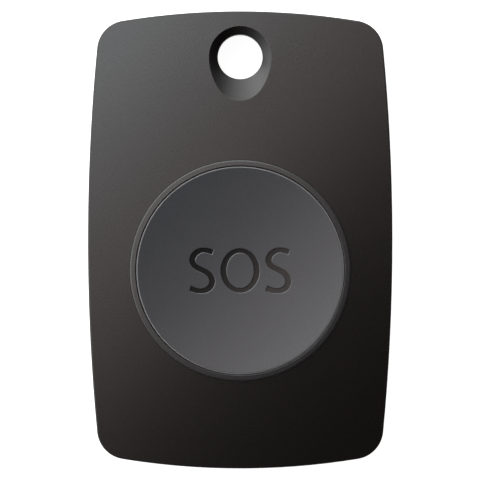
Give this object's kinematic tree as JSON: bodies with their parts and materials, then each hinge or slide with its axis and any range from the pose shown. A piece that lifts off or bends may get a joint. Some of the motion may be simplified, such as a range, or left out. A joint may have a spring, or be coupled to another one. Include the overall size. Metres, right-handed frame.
{
  "type": "wireless panic button",
  "caption": "Pocket or neck-cord alarm button: a barrel-sided crowned case with a round dished push button, a key-ring hole and a coin-slot battery door behind.",
  "frame": {"origin": "middle of the back face, on the plane that the part lies on", "axes": "+Z out of the front face with the button, +Y towards the key-ring hole, +X to the right seen from the front"},
  "size_m": [0.04, 0.06, 0.011],
  "materials": {
    "cover_plastic": "fine satin moulding",
    "rear_plastic": "fine spark-eroded texture",
    "ring_plastic": "smooth satin",
    "button_plastic": "smooth satin with a painted engraved legend",
    "door_plastic": "fine satin moulding",
    "silicone": "soft translucent grey",
    "seal_rubber": "smooth black",
    "board": "green solder mask over glass laminate",
    "switch_plastic": "smooth black",
    "plunger_plastic": "smooth black",
    "plated_steel": "bright tin plate",
    "tinned_brass": "tin plate",
    "chip_plastic": "fine matt moulding",
    "gold_track": "gold flash on copper",
    "resistor_ceramic": "dark glaze with bright ends",
    "capacitor_ceramic": "tan body with bright ends",
    "cell_steel": "nickel plate",
    "contact_steel": "nickel-plated spring strip",
    "screw_steel": "zinc plate"
  },
  "bodies": {
    "housing": {"front_cover": "cover_plastic", "rear_cover": "rear_plastic", "bezel_ring": "ring_plastic", "pcb": "board", "switch_base": "switch_plastic", "switch_frame": "plated_steel", "switch_terminals": "tinned_brass", "controller_chip": "chip_plastic", "crystal_can": "plated_steel", "antenna_trace": "gold_track", "chip_resistors": "resistor_ceramic", "chip_capacitors": "capacitor_ceramic", "battery_cell": "cell_steel", "positive_contact": "contact_steel", "negative_contact": "contact_steel", "case_screws": "screw_steel", "return_pad": "silicone", "switch_dome": "plated_steel"},
    "button": {"button_cap": "button_plastic"},
    "plunger": {"switch_plunger": "plunger_plastic"},
    "door": {"battery_door": "door_plastic", "door_seal": "seal_rubber"}
  },
  "joints": [
    {"name": "button_press", "type": "slide", "parent": "housing", "child": "button", "axis": [0, 0, -1], "range_m": [0, 0.0004], "stiffness_N_per_m": 1200, "springref_m": -0.0015, "deforming": ["return_pad", "switch_dome"]},
    {"name": "plunger_press", "type": "slide", "parent": "housing", "child": "plunger", "axis": [0, 0, -1], "range_m": [0, 0.0004]},
    {"name": "door_turn", "type": "hinge", "parent": "housing", "child": "door", "pos_m": [0, -0.004, 0], "axis": [0, 0, -1], "range_deg": [0, 40]}
  ],
  "couplings": [
    {"joint": "plunger_press", "follows": "button_press", "ratio": 1}
  ]
}
